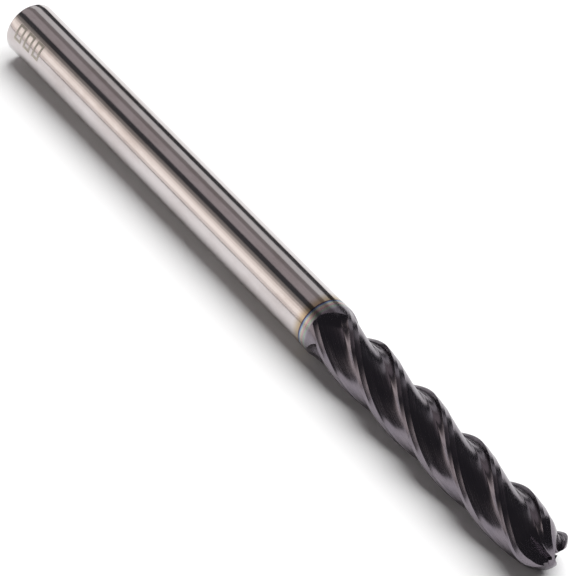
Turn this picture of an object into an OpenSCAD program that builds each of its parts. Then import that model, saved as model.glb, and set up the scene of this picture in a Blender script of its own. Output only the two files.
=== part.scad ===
// Long solid ball-nose end mill with four helical teeth, a coated end and a plain ground shank.
// The tool lies along +X: the back end of the shank is at x = 0 and the cutting end at +X.
// The origin is on the tool's axis, at the centre of the flat back end.

/* [Overall] */
// Diameter over the cutting edges, and of the coated neck
cutting_d = 6.35; // [5.5:0.05:8]
// Length from the back end to the cutting end
overall_length = 101.6; // [80:0.1:130]

/* [Shank] */
// Diameter of the ground shank
shank_d = 6.35; // [5.5:0.05:8]
// Width of the bevel round the back end
end_bevel = 0.25; // [0.1:0.01:0.5]

/* [Cutting end] */
// Length of the coated end, from the coating's edge to the cutting end
coated_length = 41.8; // [34:0.1:50]
// Length of the full-diameter neck behind the teeth
neck_length = 1; // [0.3:0.1:5]
// Length over which each flute floor comes up to the full diameter
runout_length = 1.3; // [1.1:0.1:6]
// Slope of the cutting edges, measured from the axis
helix_angle = 30; // [20:0.5:40]
// Core diameter as a share of the cutting diameter
core_share = 0.69; // [0.57:0.01:0.74]
// Angle about the axis that each land takes up
land_angle = 21; // [14:1:30]

/* [Ball end] */
// Slope of the gash bottoms, down from the tip to the side
gash_angle = 41; // [30:1:50]
// Slope of the gash bottoms, up towards the back of the next tooth
gash_rise = 25; // [15:1:35]
// Depth at the tip of the two deep gashes, which make teeth 1 and 3 stop short of the tip
deep_gash = 0.64; // [0.4:0.02:0.9]

/* [Etched mark] */
// Distance from the back end to the mark
mark_start = 1.6; // [1:0.1:20]
// Length of the mark along the shank
mark_length = 5; // [4:0.1:8]
// Height of the mark round the shank
mark_height = 2; // [1.5:0.1:2.5]
// Thickness of the mark's frosted film
mark_film = 0.02; // [0.01:0.01:0.05]

/* [Hidden] */

bare_colour = [0.72, 0.70, 0.70];
coat_colour = [0.19, 0.18, 0.20];
mark_colour = [0.86, 0.84, 0.80];

cutting_r = cutting_d / 2;
shank_r = shank_d / 2;
tooth_pitch = 360 / 4;
lead = PI * cutting_d / tan(helix_angle);
coat_start = overall_length - coated_length;
teeth_start = coat_start + neck_length;

// How much larger the cutting end is than the usual quarter-inch one
scale_up = cutting_d / 6.35;

// The ball end. Its tip is a flat too small to see, so that the teeth don't end in a point.
tip_flat_r = 0.25 * scale_up;
ball_centre = overall_length - sqrt(cutting_r * cutting_r - tip_flat_r * tip_flat_r);

// Places on a tooth are angles in front of its cutting edge. The flute floor is lowest at
// floor_angle, and the flute's middle line runs along middle_angle.
floor_angle = 17;
middle_angle = 34;
end_edge_angle = 25.06;
heel_share = 0.955;

// The core rod lies a little below the flute floor, and the teeth close round it
floor_r = cutting_r * core_share;
core_skin = 0.2 * scale_up;
core_r = floor_r - core_skin;
inner_steps = 8;

// The gash cutters: where they start, how far past the centre the shallow ones cut, how far from
// it the deep ones stop, and how far they reach
gash_ahead = 6.5;
gash_overlap = 0.03 * scale_up;
gash_web = 0.05 * scale_up;
cutter_reach = cutting_r * 1.5;

// The angle of a tooth's cutting edge at a place along the tool
function edge_angle(x, k) = end_edge_angle + k * tooth_pitch + 360 * (x - overall_length) / lead;

// The radius of the ball at a place along the tool, as a share of the cutting radius
function ball_share(x) =
    let (into = max(0, x - ball_centre) / cutting_r)
    sqrt(max(0, 1 - into * into));

// How far the flute floor has risen in the run-out, along the arc that a grinding wheel leaves.
// The wheel runs along the helix, so its arc starts later on the side of the cutting edge.
runout_depth = cutting_r - floor_r;
runout_r = (runout_depth * runout_depth + runout_length * runout_length) / (2 * runout_depth);
flute_start = teeth_start + 0.8;
function floor_rise(x, angle) =
    let (in_flute = angle > 0 ? angle : angle + tooth_pitch,
         along = x + cutting_r * (in_flute - middle_angle) * PI / 180 * tan(helix_angle),
         back = min(runout_length, max(0, flute_start + runout_length - along)))
    runout_r - sqrt(runout_r * runout_r - back * back);

// The outline of one tooth: each point has its angle, its share of the cutting radius, and the
// angle where it meets the rim when the flute runs out
tooth_outline = [
    [floor_angle, core_share, floor_angle],
    [7, core_share + 0.015, 7],
    [1.2, core_share + 0.09, 3],
    [-0.8, core_share + 0.18, 1],
    [0, 1, 0],
    [-land_angle * 0.42, 0.992, -land_angle * 0.42],
    [-land_angle, heel_share, -land_angle],
    [-land_angle - 8, heel_share - 0.09, -land_angle - 8],
    [-land_angle - 19, heel_share - 0.175, -land_angle - 19],
    [-land_angle - 34, core_share + 0.045, -land_angle - 34],
    [floor_angle - tooth_pitch, core_share, floor_angle - tooth_pitch]
];

// A point of the outline, carried to a place along the tool
function outline_point(p, x, k) =
    let (full = p[1] * cutting_r,
         r = min(cutting_r, full + floor_rise(x, p[2])),
         room = cutting_r - full,
         open = room > 0.001 ? (cutting_r - r) / room : 0,
         angle = edge_angle(x, k) + p[2] + (p[0] - p[2]) * open,
         r_here = r * ball_share(x))
    [x, r_here * cos(angle), r_here * sin(angle)];

// A point where the tooth closes round the core rod, so far out that the chords touch the rod
function inner_point(i, x, k) =
    let (step = tooth_pitch / inner_steps,
         r_here = core_r / cos(step / 2) * ball_share(x),
         angle = edge_angle(x, k) + floor_angle - tooth_pitch + i * step)
    [x, r_here * cos(angle), r_here * sin(angle)];

function slice_points(x, k) = concat(
    [for (p = tooth_outline) outline_point(p, x, k)],
    [for (i = [0 : inner_steps]) inner_point(i, x, k)]
);

// The places of the slices: close together in the run-out and on the ball
slice_turn = 6;
runout_end = flute_start + runout_length + cutting_r * middle_angle * PI / 180 * tan(helix_angle);
runout_slices = 12;
body_slices = ceil((ball_centre - runout_end) / (lead * slice_turn / 360));
ball_slices = 10;
ball_places = [
    for (i = [1 : ball_slices - 1]) ball_centre + cutting_r * sin(90 * i / ball_slices),
    overall_length
];
slice_places = concat(
    [for (i = [0 : runout_slices - 1]) teeth_start + (runout_end - teeth_start) * i / runout_slices],
    [for (i = [0 : body_slices]) runout_end + (ball_centre - runout_end) * i / body_slices],
    ball_places
);

// One helical tooth, made of its slices from the neck to the end
module whole_tooth(k) {
    outline_size = len(tooth_outline);
    ring_size = outline_size + inner_steps + 1;
    last = len(slice_places) - 1;
    points = [for (x = slice_places) each slice_points(x, k)];
    walls = [
        for (j = [0 : last - 1])
            for (i = [0 : ring_size - 1])
                let (next = (i + 1) % ring_size,
                     a = j * ring_size + i,
                     b = j * ring_size + next,
                     c = a + ring_size,
                     d = b + ring_size)
                each i == outline_size - 1 ? [[a, d, b], [a, c, d]] : [[a, c, b], [b, c, d]]
    ];
    start_cap = [[for (i = [0 : ring_size - 1]) i]];
    end_cap = [[for (i = [ring_size - 1 : -1 : 0]) last * ring_size + i]];
    polyhedron(points = points, faces = concat(walls, start_cap, end_cap), convexity = 8);
}

// A round rod between two places along the tool
module rod(from, to, r) {
    translate([from, 0, 0])
        rotate([0, 90, 0])
            cylinder(h = to - from, r = r, $fn = 96);
}

// The gash in front of a tooth: a block whose bottom falls outwards from the tip and rises
// towards the back of the next tooth. A deep gash leaves a web at the centre of the tip.
module gash(k, web) {
    deep = k % 2 == 1;
    depth = deep ? deep_gash : 0;
    wall = deep ? web : -gash_overlap;
    corners = [
        [0, wall], [cutter_reach, wall],
        [cutter_reach, cutter_reach], [0, cutter_reach]
    ];
    bottom = [for (c = corners) [c[1] * tan(gash_rise) - c[0] * tan(gash_angle) - depth, c[0], c[1]]];
    top = [for (c = corners) [cutter_reach, c[0], c[1]]];
    translate([overall_length, 0, 0])
        rotate([edge_angle(overall_length, k) + gash_ahead, 0, 0])
            polyhedron(
                points = concat(bottom, top),
                faces = [
                    [0, 1, 2, 3], [7, 6, 5, 4],
                    [0, 4, 5, 1], [1, 5, 6, 2], [2, 6, 7, 3], [3, 7, 4, 0]
                ]
            );
}

// The gash in front of tooth k and the one behind it
module gashes(k) {
    gash(k, gash_web);
    gash((k + 3) % 4, 0);
}

module shank() {
    color(bare_colour)
        rotate([0, 90, 0])
            rotate_extrude($fn = 96)
                polygon([
                    [0, 0],
                    [shank_r - end_bevel, 0],
                    [shank_r, end_bevel],
                    [shank_r, coat_start],
                    [0, coat_start]
                ]);
}

module coated_neck() {
    color(coat_colour)
        rod(coat_start, teeth_start, cutting_r);
}

module core() {
    color(coat_colour)
        difference() {
            rotate([0, 90, 0])
                rotate_extrude($fn = 96)
                    polygon(concat(
                        [[0, teeth_start], [core_r, teeth_start], [core_r, ball_centre]],
                        [for (x = ball_places) [core_r * ball_share(x), x]],
                        [[0, overall_length]]
                    ));
            gashes(1);
            gashes(3);
        }
}

module tooth(k) {
    color(coat_colour)
        difference() {
            whole_tooth(k);
            gashes(k);
        }
}

module tooth_1() { tooth(0); }
module tooth_2() { tooth(1); }
module tooth_3() { tooth(2); }
module tooth_4() { tooth(3); }

// The mark: a row of hollow squares in a thin frosted film on the shank
mark_angle = 145.5;
mark_squares = 3;
mark_stroke = 0.28;
module mark_square(start, width) {
    through = shank_r + 1;
    translate([start, -mark_height / 2, 0])
        difference() {
            cube([width, mark_height, through]);
            translate([mark_stroke, mark_stroke, -1])
                cube([width - 2 * mark_stroke, mark_height - 2 * mark_stroke, through + 2]);
        }
}

module size_mark() {
    gap = 0.55;
    width = (mark_length - gap * (mark_squares - 1)) / mark_squares;
    color(mark_colour)
        intersection() {
            difference() {
                rod(mark_start - 1, mark_start + mark_length + 1, shank_r + mark_film);
                rod(mark_start - 2, mark_start + mark_length + 2, shank_r);
            }
            rotate([mark_angle - 90, 0, 0])
                for (i = [0 : mark_squares - 1])
                    mark_square(mark_start + i * (width + gap), width);
        }
}

shank();
coated_neck();
core();
tooth_1();
tooth_2();
tooth_3();
tooth_4();
size_mark();
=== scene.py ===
import bmesh
import bpy
from math import cos, pi, radians, sin, sqrt, tan
from mathutils import Matrix, Vector


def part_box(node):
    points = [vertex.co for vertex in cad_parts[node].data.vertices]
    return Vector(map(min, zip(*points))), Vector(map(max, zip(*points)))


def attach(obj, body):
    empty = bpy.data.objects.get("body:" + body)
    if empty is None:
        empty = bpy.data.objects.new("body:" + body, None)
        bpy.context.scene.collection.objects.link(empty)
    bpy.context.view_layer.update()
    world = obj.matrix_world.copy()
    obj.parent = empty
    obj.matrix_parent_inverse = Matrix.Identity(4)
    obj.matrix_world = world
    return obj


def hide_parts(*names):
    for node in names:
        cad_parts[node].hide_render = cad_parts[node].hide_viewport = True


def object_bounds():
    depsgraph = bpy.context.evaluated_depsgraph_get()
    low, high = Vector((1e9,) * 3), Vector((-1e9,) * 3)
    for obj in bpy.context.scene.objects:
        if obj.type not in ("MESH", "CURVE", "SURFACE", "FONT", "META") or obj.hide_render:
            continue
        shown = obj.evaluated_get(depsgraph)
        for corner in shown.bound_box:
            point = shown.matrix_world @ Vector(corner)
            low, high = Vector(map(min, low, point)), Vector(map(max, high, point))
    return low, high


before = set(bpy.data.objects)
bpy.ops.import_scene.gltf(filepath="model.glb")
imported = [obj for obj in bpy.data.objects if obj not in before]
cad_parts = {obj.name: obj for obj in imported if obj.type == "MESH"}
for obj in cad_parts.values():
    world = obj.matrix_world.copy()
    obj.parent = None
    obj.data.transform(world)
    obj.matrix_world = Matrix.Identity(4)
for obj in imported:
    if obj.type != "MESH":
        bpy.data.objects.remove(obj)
cad_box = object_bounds()


# ---------------------------------------------------------------- camera
# A long lens looks down on the tool from beyond its cutting end, with the shank running away
# to the upper left.
camera_place = Vector((0.36933, -0.20754, 0.33690))
camera_forward = Vector((-0.62441, 0.40980, -0.66496))
camera_data = bpy.data.cameras.new("long_lens")
camera_data.sensor_width = 36
camera_data.lens = 298.46
camera_data.clip_start = 0.01
camera = bpy.data.objects.new("camera", camera_data)
camera.location = camera_place
camera.rotation_euler = camera_forward.to_track_quat("-Z", "Y").to_euler()
bpy.context.collection.objects.link(camera)
bpy.context.scene.camera = camera


# ---------------------------------------------------------------- shank
# The bare end of the carbide rod, centreless ground and polished to a bright finish, with a
# small bevel ground round its flat back end.
shank_low, shank_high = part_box("shank")
shank_r = shank_high.z
end_bevel = 0.00022


def hex_colour(code):
    """An sRGB hex value as a linear colour."""
    values = [int(code[i:i + 2], 16) / 255 for i in (1, 3, 5)]
    linear = [v / 12.92 if v <= 0.04045 else ((v + 0.055) / 1.055) ** 2.4 for v in values]
    return (*linear, 1)


def add_node(tree, kind, inputs=None, links=None, **settings):
    """A new node with its settings, its input values and its incoming links."""
    node = tree.nodes.new(kind)
    for name, value in settings.items():
        setattr(node, name, value)
    for name, value in (inputs or {}).items():
        node.inputs[name].default_value = value
    for name, source in (links or {}).items():
        tree.links.new(source, node.inputs[name])
    return node


def add_long_cylinder(name, start, end, radius, sides, rings):
    """A cylinder along X between two places, cut into rings along its length."""
    bpy.ops.object.select_all(action="DESELECT")
    bpy.ops.mesh.primitive_cylinder_add(
        vertices=sides, radius=radius, depth=end - start,
        location=((start + end) / 2, 0, 0), rotation=(0, pi / 2, 0))
    piece = bpy.context.object
    piece.name = name
    bpy.ops.object.transform_apply(location=True, rotation=True, scale=True)
    bpy.ops.object.mode_set(mode="EDIT")
    bpy.ops.mesh.select_mode(type="EDGE")
    bpy.ops.mesh.select_all(action="DESELECT")
    bm = bmesh.from_edit_mesh(piece.data)
    for edge in bm.edges:
        a, b = edge.verts
        edge.select_set(abs(a.co.x - b.co.x) > (end - start) / 2)
    bmesh.update_edit_mesh(piece.data)
    bpy.ops.mesh.subdivide(number_cuts=rings)
    bpy.ops.object.mode_set(mode="OBJECT")
    return piece


def select_rim(piece, x):
    """In edit mode, selects the edges that lie in the plane at x."""
    bpy.ops.mesh.select_mode(type="EDGE")
    bpy.ops.mesh.select_all(action="DESELECT")
    bm = bmesh.from_edit_mesh(piece.data)
    for edge in bm.edges:
        edge.select_set(all(abs(v.co.x - x) < 1e-6 for v in edge.verts))
    bmesh.update_edit_mesh(piece.data)


shank = add_long_cylinder("shank_ground", shank_low.x, shank_high.x, shank_r, 256, 60)
bpy.ops.object.mode_set(mode="EDIT")
select_rim(shank, shank_low.x)
bpy.ops.mesh.bevel(offset=end_bevel, segments=3, profile=0.5)
bpy.ops.object.mode_set(mode="OBJECT")
bpy.ops.object.shade_smooth_by_angle(angle=radians(30))

# Ground carbide: a bright metal with fine grinding lines, which give its reflections soft, uneven
# edges, faint stains from handling, and a straw tint where the coating's heat reached it.
ground_carbide = bpy.data.materials.new("ground_carbide")
ground_carbide.use_nodes = True
tree = ground_carbide.node_tree
shader = tree.nodes["Principled BSDF"]
shader.inputs["Metallic"].default_value = 1
place = add_node(tree, "ShaderNodeTexCoord").outputs["Object"]
# Fine lines: 12 mm long and 0.12 mm wide
line_place = add_node(tree, "ShaderNodeMapping", {"Scale": (83, 8300, 8300)}, {"Vector": place})
lines = add_node(
    tree, "ShaderNodeTexNoise", {"Scale": 1.0, "Detail": 4.0, "Roughness": 0.6},
    {"Vector": line_place.outputs["Vector"]})
# Stains: patches of about 4 mm, twice as long as wide
stain_place = add_node(tree, "ShaderNodeMapping", {"Scale": (120, 250, 250)}, {"Vector": place})
stains = add_node(
    tree, "ShaderNodeTexNoise", {"Scale": 1.0, "Detail": 6.0, "Roughness": 0.65},
    {"Vector": stain_place.outputs["Vector"]})
stain_amount = add_node(
    tree, "ShaderNodeMapRange", {"From Min": 0.48, "From Max": 0.74, "To Min": 0.0, "To Max": 0.55},
    {"Value": stains.outputs["Fac"]})
metal_tone = add_node(
    tree, "ShaderNodeMix", {"A": hex_colour("#c8c2c2"), "B": hex_colour("#a89c98")},
    {"Factor": stain_amount.outputs["Result"]}, data_type="RGBA")
along = add_node(tree, "ShaderNodeSeparateXYZ", None, {"Vector": place})
# The tint fades in over the last stretch before the coating's edge
tint_length = 0.0014
tint_amount = add_node(
    tree, "ShaderNodeMapRange",
    {"From Min": shank_high.x - tint_length, "From Max": shank_high.x, "To Min": 0.0, "To Max": 0.85},
    {"Value": along.outputs["X"]}, interpolation_type="SMOOTHSTEP")
tinted = add_node(
    tree, "ShaderNodeMix", {"B": hex_colour("#a08a68")},
    {"Factor": tint_amount.outputs["Result"], "A": metal_tone.outputs["Result"]}, data_type="RGBA")
tree.links.new(tinted.outputs["Result"], shader.inputs["Base Color"])
ground_roughness = add_node(
    tree, "ShaderNodeMapRange", {"From Min": 0.3, "From Max": 0.7, "To Min": 0.08, "To Max": 0.19},
    {"Value": lines.outputs["Fac"]})
tree.links.new(ground_roughness.outputs["Result"], shader.inputs["Roughness"])
line_bump = add_node(
    tree, "ShaderNodeBump", {"Strength": 0.35, "Distance": 0.000002}, {"Height": lines.outputs["Fac"]})
tree.links.new(line_bump.outputs["Normal"], shader.inputs["Normal"])
shank.data.materials.append(ground_carbide)
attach(shank, "root")
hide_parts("shank")


# ---------------------------------------------------------------- size mark
# The row of small signs etched into the shank's side near its back end. The etching leaves the
# polished metal matt and pale, a film too thin to see from the side.
etched_mark = bpy.data.materials.new("etched_carbide")
etched_mark.use_nodes = True
tree = etched_mark.node_tree
shader = tree.nodes["Principled BSDF"]
shader.inputs["Metallic"].default_value = 0.7
place = add_node(tree, "ShaderNodeTexCoord").outputs["Object"]
# Frosting: grains of 0.05 mm
frost_place = add_node(tree, "ShaderNodeMapping", {"Scale": (20000, 20000, 20000)}, {"Vector": place})
frost = add_node(
    tree, "ShaderNodeTexNoise", {"Scale": 1.0, "Detail": 3.0}, {"Vector": frost_place.outputs["Vector"]})
frost_tone = add_node(
    tree, "ShaderNodeMix", {"A": hex_colour("#b9b2a8"), "B": hex_colour("#e6e0d6")},
    {"Factor": frost.outputs["Fac"]}, data_type="RGBA")
tree.links.new(frost_tone.outputs["Result"], shader.inputs["Base Color"])
frost_roughness = add_node(
    tree, "ShaderNodeMapRange", {"To Min": 0.5, "To Max": 0.75}, {"Value": frost.outputs["Fac"]})
tree.links.new(frost_roughness.outputs["Result"], shader.inputs["Roughness"])
size_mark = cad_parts["size_mark"]
size_mark.data.materials.clear()
size_mark.data.materials.append(etched_mark)


# ---------------------------------------------------------------- fluted end
# The coated end of the same rod, ground to a ball. The flutes and the gashes are ground out of
# it with wheels, so each is a cutter that is taken away from the rod.
neck_low, neck_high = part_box("coated_neck")
cutting_r = neck_high.z
cutting_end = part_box("core")[1].x
teeth_start = neck_high.x
helix_angle = radians(30)
lead = 2 * pi * cutting_r / tan(helix_angle)
end_edge_angle = radians(25.06)
tip_flat_r = 0.00025
ball_centre = cutting_end - sqrt(cutting_r ** 2 - tip_flat_r ** 2)
floor_share = 0.69
floor_share_at_tip = 0.42
heel_share = 0.955
land_angle = radians(21)
margin_angle = radians(1)
rake_angle = radians(10)
flute_middle = radians(34)
runout_length = 0.0013
flute_start = teeth_start + 0.0008
quarter = pi / 2


def edge_angle(x):
    """The angle of the first tooth's cutting edge at a place along the tool."""
    return end_edge_angle + 2 * pi * (x - cutting_end) / lead


def ball_share(x):
    """The radius of the ball at a place along the tool, as a share of the cutting radius."""
    into = max(0, x - ball_centre) / cutting_r
    return sqrt(max(0, 1 - into * into))


def polar(share, angle):
    return Vector((share * cos(angle), share * sin(angle)))


def smooth_through(points, steps):
    """A smooth curve through the points, with the same number of steps between each two."""
    ends = [points[0] * 2 - points[1]] + points + [points[-1] * 2 - points[-2]]
    curve = []
    for a, b, c, d in zip(ends, ends[1:], ends[2:], ends[3:]):
        for i in range(steps):
            t = i / steps
            curve.append(0.5 * (2 * b + (c - a) * t + (2 * a - 5 * b + 4 * c - d) * t * t
                                + (3 * b - a - 3 * c + d) * t ** 3))
    return curve + [points[-1]]


def flute_outline(floor):
    """The outline of the flute in front of a cutting edge at angle 0, in cutting radii."""
    depth = 1 - floor
    rise = heel_share - floor
    rake = polar(depth, pi + rake_angle)
    floor_angle = radians(17)
    curve = smooth_through([
        polar(1, 0),
        polar(1, 0) + rake * 0.35,
        polar(1, 0) + rake * 0.62,
        polar(floor + depth * 0.09, floor_angle * 0.55),
        polar(floor, floor_angle),
        polar(floor + rise * 0.25, radians(37.8)),
        polar(floor + rise * 0.62, radians(54)),
        polar(heel_share, quarter - land_angle)], 7)
    relief_break = polar(0.993, quarter - land_angle * 0.42)
    next_edge = polar(1.001, quarter - margin_angle)
    return (curve + [curve[-1].lerp(relief_break, i / 4) for i in range(1, 5)]
            + [relief_break.lerp(next_edge, i / 4) for i in range(1, 5)])


# The cutter reaches past the rod: how far its outline may go, and its outer side, in cutting radii
outline_limit = 1.2
cutter_rim = 1.25
flute_depth = cutting_r * (1 - floor_share)
runout_r = (flute_depth ** 2 + runout_length ** 2) / (2 * flute_depth)


def floor_rise(x, angle):
    """How far the flute has risen at its start, where the wheel leaves the rod along an arc."""
    along = x + cutting_r * (angle - flute_middle) * tan(helix_angle)
    back = min(runout_r * 0.999, max(0, flute_start + runout_length - along))
    return runout_r - sqrt(runout_r ** 2 - back ** 2)


def flute_ring(x):
    """The cutter's outline at a place along the tool."""
    share = ball_share(x)
    depth_share = max(0, x - ball_centre) / cutting_r
    outline = flute_outline(floor_share + (floor_share_at_tip - floor_share) * depth_share ** 2)
    points = []
    for p in outline:
        angle = p.angle_signed(Vector((1, 0))) if p.y else 0
        r = min(outline_limit, p.length + floor_rise(x, angle) / cutting_r)
        points.append(polar(r, angle))
    points += [polar(cutter_rim, quarter - margin_angle - radians(a)) for a in range(0, 90, 5)]
    turn = Matrix.Rotation(edge_angle(x), 2)
    return [(x, *(turn @ p * cutting_r * share)) for p in points]


# The cutter: rings that start a little before the teeth, and lie closer together on the ball
ring_step = 0.00015
cutter_lead_in = 0.0004
cutter_lead_out = 0.0002
ring_count = int((ball_centre - teeth_start) / ring_step) + 3
places = [teeth_start - cutter_lead_in + ring_step * i for i in range(ring_count)]
places = [x for x in places if x < ball_centre - ring_step / 2]
ball_steps = 36
places += [ball_centre + cutting_r * sin(quarter * i / ball_steps) for i in range(ball_steps)]
places += [cutting_end - 1e-6]
rings = [flute_ring(x) for x in places]
last = rings[-1]
rings.append([(cutting_end + cutter_lead_out, y, z) for x, y, z in last])
count = len(rings[0])
faces = [list(range(count))[::-1], [(len(rings) - 1) * count + i for i in range(count)]]
for j in range(len(rings) - 1):
    for i in range(count):
        a, b = j * count + i, j * count + (i + 1) % count
        faces.append((a, b, b + count, a + count))
mesh = bpy.data.meshes.new("flute_cutter")
mesh.from_pydata([p for ring in rings for p in ring], [], faces)
flute_cutter = bpy.data.objects.new("flute_cutter", mesh)
bpy.context.collection.objects.link(flute_cutter)


def face_outwards(piece):
    """Turns every face of the piece outwards."""
    bpy.ops.object.select_all(action="DESELECT")
    piece.select_set(True)
    bpy.context.view_layer.objects.active = piece
    bpy.ops.object.mode_set(mode="EDIT")
    bpy.ops.mesh.select_all(action="SELECT")
    bpy.ops.mesh.normals_make_consistent(inside=False)
    bpy.ops.object.mode_set(mode="OBJECT")


def grind_away(piece, cutter, turns):
    """Takes turned copies of a cutter's shape out of the piece."""
    face_outwards(cutter)
    for k in turns:
        cutter.rotation_euler.x = k * quarter
        bpy.ops.object.select_all(action="DESELECT")
        piece.select_set(True)
        bpy.context.view_layer.objects.active = piece
        cut = piece.modifiers.new("cut", "BOOLEAN")
        cut.operation = "DIFFERENCE"
        cut.solver = "MANIFOLD"
        cut.object = cutter
        bpy.context.view_layer.update()
        bpy.ops.object.modifier_apply(modifier="cut")
    bpy.data.objects.remove(cutter)


# The blank: a profile turned about the axis
profile = [(neck_low.x, 0), (neck_low.x, cutting_r)]
blank_rings = 100
blank_step = (ball_centre - neck_low.x) / blank_rings
profile += [(neck_low.x + blank_step * i, cutting_r) for i in range(1, blank_rings + 1)]
nose_steps = 32
for i in range(1, nose_steps):
    turn = quarter * i / nose_steps
    profile.append((ball_centre + cutting_r * sin(turn), cutting_r * cos(turn)))
profile += [(cutting_end, tip_flat_r), (cutting_end, 0)]
mesh = bpy.data.meshes.new("fluted_end")
mesh.from_pydata([(x, r, 0) for x, r in profile], [(i, i + 1) for i in range(len(profile) - 1)], [])
fluted_end = bpy.data.objects.new("fluted_end", mesh)
bpy.context.collection.objects.link(fluted_end)
bpy.ops.object.select_all(action="DESELECT")
fluted_end.select_set(True)
bpy.context.view_layer.objects.active = fluted_end
bpy.ops.object.mode_set(mode="EDIT")
bpy.ops.mesh.select_all(action="SELECT")
bpy.ops.mesh.spin(steps=256, angle=2 * pi, center=(0, 0, 0), axis=(1, 0, 0))
bpy.ops.mesh.select_all(action="SELECT")
bpy.ops.mesh.remove_doubles(threshold=1e-7)
bpy.ops.object.mode_set(mode="OBJECT")
face_outwards(fluted_end)
grind_away(fluted_end, flute_cutter, range(4))

gash_ahead = radians(6.5)
gash_angle = radians(41)
gash_rise = radians(25)
deep_gash = 0.00064
gash_web = 0.00005
gash_overlap = 0.00003


def add_gash_cutter(depth, wall):
    """A block whose sloping bottom falls outwards and rises towards the next tooth."""
    reach = cutting_r * 1.5
    corners = [(u, v) for u in (0, reach) for v in (wall, reach)]
    turn = Matrix.Rotation(end_edge_angle + gash_ahead, 4, "X")
    place = Matrix.Translation((cutting_end, 0, 0)) @ turn
    points = [(-depth - u * tan(gash_angle) + v * tan(gash_rise), u, v) for u, v in corners]
    points += [(reach, u, v) for u, v in corners]
    mesh = bpy.data.meshes.new("gash_cutter")
    sides = [(0, 1, 3, 2), (4, 6, 7, 5), (0, 4, 5, 1), (2, 3, 7, 6), (0, 2, 6, 4), (1, 5, 7, 3)]
    mesh.from_pydata([place @ Vector(p) for p in points], [], sides)
    cutter = bpy.data.objects.new("gash_cutter", mesh)
    bpy.context.collection.objects.link(cutter)
    return cutter


grind_away(fluted_end, add_gash_cutter(deep_gash, gash_web), (1, 3))
grind_away(fluted_end, add_gash_cutter(0, -gash_overlap), (0, 2))
bpy.ops.object.select_all(action="DESELECT")
fluted_end.select_set(True)
bpy.context.view_layer.objects.active = fluted_end
bpy.ops.object.shade_smooth_by_angle(angle=radians(10))

# Coated carbide: a hard dark grey-violet film over the ground metal, with fine lines along the
# flutes from the wheel. At its edge it thins out, and its bands of colour show.
coated_carbide = bpy.data.materials.new("coated_carbide")
coated_carbide.use_nodes = True
tree = coated_carbide.node_tree
shader = tree.nodes["Principled BSDF"]
shader.inputs["Metallic"].default_value = 1
place = add_node(tree, "ShaderNodeTexCoord").outputs["Object"]
along = add_node(tree, "ShaderNodeSeparateXYZ", None, {"Vector": place})
# The helix is turned straight: a place at x is turned back by its share of the lead
untwist = add_node(
    tree, "ShaderNodeMath", {1: -2 * pi / lead}, {0: along.outputs["X"]}, operation="MULTIPLY")
straight = add_node(
    tree, "ShaderNodeVectorRotate", None, {"Vector": place, "Angle": untwist.outputs["Value"]},
    rotation_type="X_AXIS")
# Wheel lines: 5 mm long along the flute and 0.09 mm wide
line_place = add_node(
    tree, "ShaderNodeMapping", {"Scale": (200, 11000, 11000)}, {"Vector": straight.outputs["Vector"]})
lines = add_node(
    tree, "ShaderNodeTexNoise", {"Scale": 1.0, "Detail": 4.0, "Roughness": 0.6},
    {"Vector": line_place.outputs["Vector"]})
# Uneven film: patches of about 2.5 mm
film = add_node(
    tree, "ShaderNodeTexNoise", {"Scale": 400.0, "Detail": 5.0, "Roughness": 0.6}, {"Vector": place})
film_tone = add_node(
    tree, "ShaderNodeMix", {"A": hex_colour("#6f6a74"), "B": hex_colour("#857d82")},
    {"Factor": film.outputs["Fac"]}, data_type="RGBA")
# The edge of the film: bands of colour over its first stretch, a little uneven
band_length = 0.0016
uneven = add_node(
    tree, "ShaderNodeMapRange", {"To Min": -0.00008, "To Max": 0.00008}, {"Value": film.outputs["Fac"]})
from_edge = add_node(
    tree, "ShaderNodeMath", None, {0: along.outputs["X"], 1: uneven.outputs["Result"]}, operation="ADD")
band_place = add_node(
    tree, "ShaderNodeMapRange", {"From Min": neck_low.x, "From Max": neck_low.x + band_length},
    {"Value": from_edge.outputs["Value"]})
bands = add_node(tree, "ShaderNodeValToRGB", None, {"Fac": band_place.outputs["Result"]})
band_colours = [
    (0.0, "#6e5848"), (0.07, "#3c3a5c"), (0.16, "#7f94b4"), (0.30, "#b4b39c"),
    (0.46, "#b08c98"), (0.62, "#8ca090"), (0.8, "#938a96"), (1.0, "#7a747c")]
for spot, code in band_colours[2:]:
    bands.color_ramp.elements.new(spot)
for element, (spot, code) in zip(bands.color_ramp.elements, band_colours):
    element.position = spot
    element.color = hex_colour(code)
past_bands = add_node(
    tree, "ShaderNodeMapRange", {"From Min": 0.75, "From Max": 1.0},
    {"Value": band_place.outputs["Result"]})
coat_tone = add_node(
    tree, "ShaderNodeMix", None,
    {"Factor": past_bands.outputs["Result"], "A": bands.outputs["Color"],
     "B": film_tone.outputs["Result"]}, data_type="RGBA")
tree.links.new(coat_tone.outputs["Result"], shader.inputs["Base Color"])
coat_roughness = add_node(
    tree, "ShaderNodeMapRange", {"From Min": 0.3, "From Max": 0.7, "To Min": 0.18, "To Max": 0.32},
    {"Value": lines.outputs["Fac"]})
tree.links.new(coat_roughness.outputs["Result"], shader.inputs["Roughness"])
line_bump = add_node(
    tree, "ShaderNodeBump", {"Strength": 0.5, "Distance": 0.000003}, {"Height": lines.outputs["Fac"]})
tree.links.new(line_bump.outputs["Normal"], shader.inputs["Normal"])
fluted_end.data.materials.clear()
fluted_end.data.materials.append(coated_carbide)
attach(fluted_end, "root")
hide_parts("coated_neck", "core", "tooth_1", "tooth_2", "tooth_3", "tooth_4")


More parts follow.
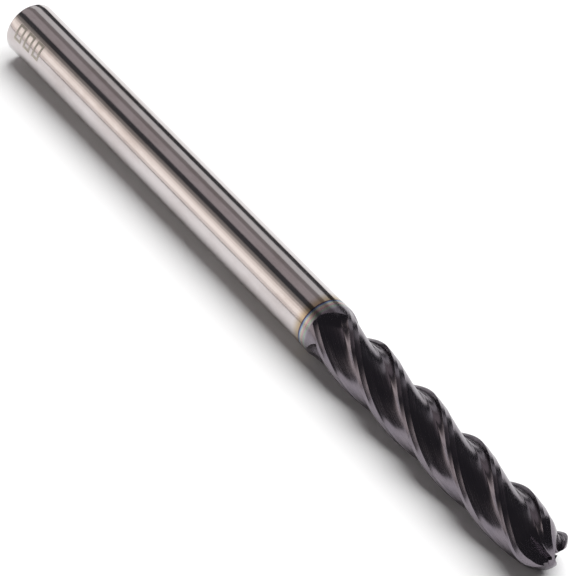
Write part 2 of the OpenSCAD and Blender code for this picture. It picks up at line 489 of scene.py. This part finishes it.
# ---------------------------------------------------------------- floor and light
# A plain pale floor that the tool lies on, and soft boxes that run the way the tool does.
bpy.ops.object.select_all(action="DESELECT")
bpy.ops.mesh.primitive_plane_add(size=6, location=(0, 0, cad_box[0].z))
floor = bpy.context.object
floor.name = "floor"
pale_floor = bpy.data.materials.new("pale_floor")
pale_floor.use_nodes = True
floor_shader = pale_floor.node_tree.nodes["Principled BSDF"]
floor_shader.inputs["Base Color"].default_value = hex_colour("#f6f6f6")
floor_shader.inputs["Roughness"].default_value = 0.9
floor_shader.inputs["Specular IOR Level"].default_value = 0.1
floor.data.materials.append(pale_floor)


def add_soft_box(name, angle, distance, width, length, along, radiance, tint="#ffffff"):
    """An area light that runs along X and faces the tool's axis. Its angle about the axis is
    measured from +Y towards +Z."""
    direction = Vector((0, cos(angle), sin(angle)))
    data = bpy.data.lights.new(name, "AREA")
    data.shape = "RECTANGLE"
    data.size = width
    data.size_y = length
    data.energy = radiance * pi * width * length
    data.color = hex_colour(tint)[:3]
    light = bpy.data.objects.new(name, data)
    across = Vector((1, 0, 0)).cross(direction)
    turn = Matrix((across, (1, 0, 0), direction)).transposed().to_4x4()
    light.matrix_world = Matrix.Translation(Vector((along, 0, 0)) + direction * distance) @ turn
    bpy.context.collection.objects.link(light)
    return light


def add_stripe(name, low, high, radiance, start, end, tint="#ffffff"):
    """A soft box between two angles about the tool's axis and two places along it."""
    distance = 0.7
    middle = radians((low + high) / 2)
    width = 2 * distance * tan(radians((high - low) / 2))
    add_soft_box(name, middle, distance, width, start - end, (start + end) / 2, radiance, tint)


# The tool mirrors these boxes as long stripes, from the far side over the top to the near side
add_stripe("far_box", 25, 50, 0.66, -0.30, -1.4)
add_stripe("far_low_box", 50, 67, 0.20, -0.36, -1.4, "#fff0ee")
add_stripe("overhead_box", 67, 98, 0.38, -0.42, -1.4, "#fff2f4")
add_stripe("near_box_1", 118, 130, 0.22, -0.30, -1.6, "#fff4ea")
add_stripe("near_box_2", 130, 140, 0.65, -0.30, -1.6, "#fff4ea")
add_stripe("near_box_3", 140, 150, 1.15, -0.30, -1.6, "#fff6ee")
add_stripe("near_box_4", 150, 166, 1.42, -0.30, -1.6, "#fff8f0")
add_stripe("near_box_5", 166, 178, 1.0, -0.30, -1.6, "#fff6f0")

# The floor has a soft light of its own, as a white backdrop has in a studio
floor_light = add_soft_box("floor_light", radians(62), 1.2, 1.3, 1.6, 0.05, 4.2)
lit_by_it = bpy.data.collections.new("floor_only")
lit_by_it.objects.link(floor)
floor_light.light_linking.receiver_collection = lit_by_it

world = bpy.data.worlds.new("dark_room")
world.use_nodes = True
background = world.node_tree.nodes["Background"]
background.inputs["Color"].default_value = (0.05, 0.05, 0.055, 1)
bpy.context.scene.world = world
bpy.context.scene.view_settings.view_transform = "Standard"
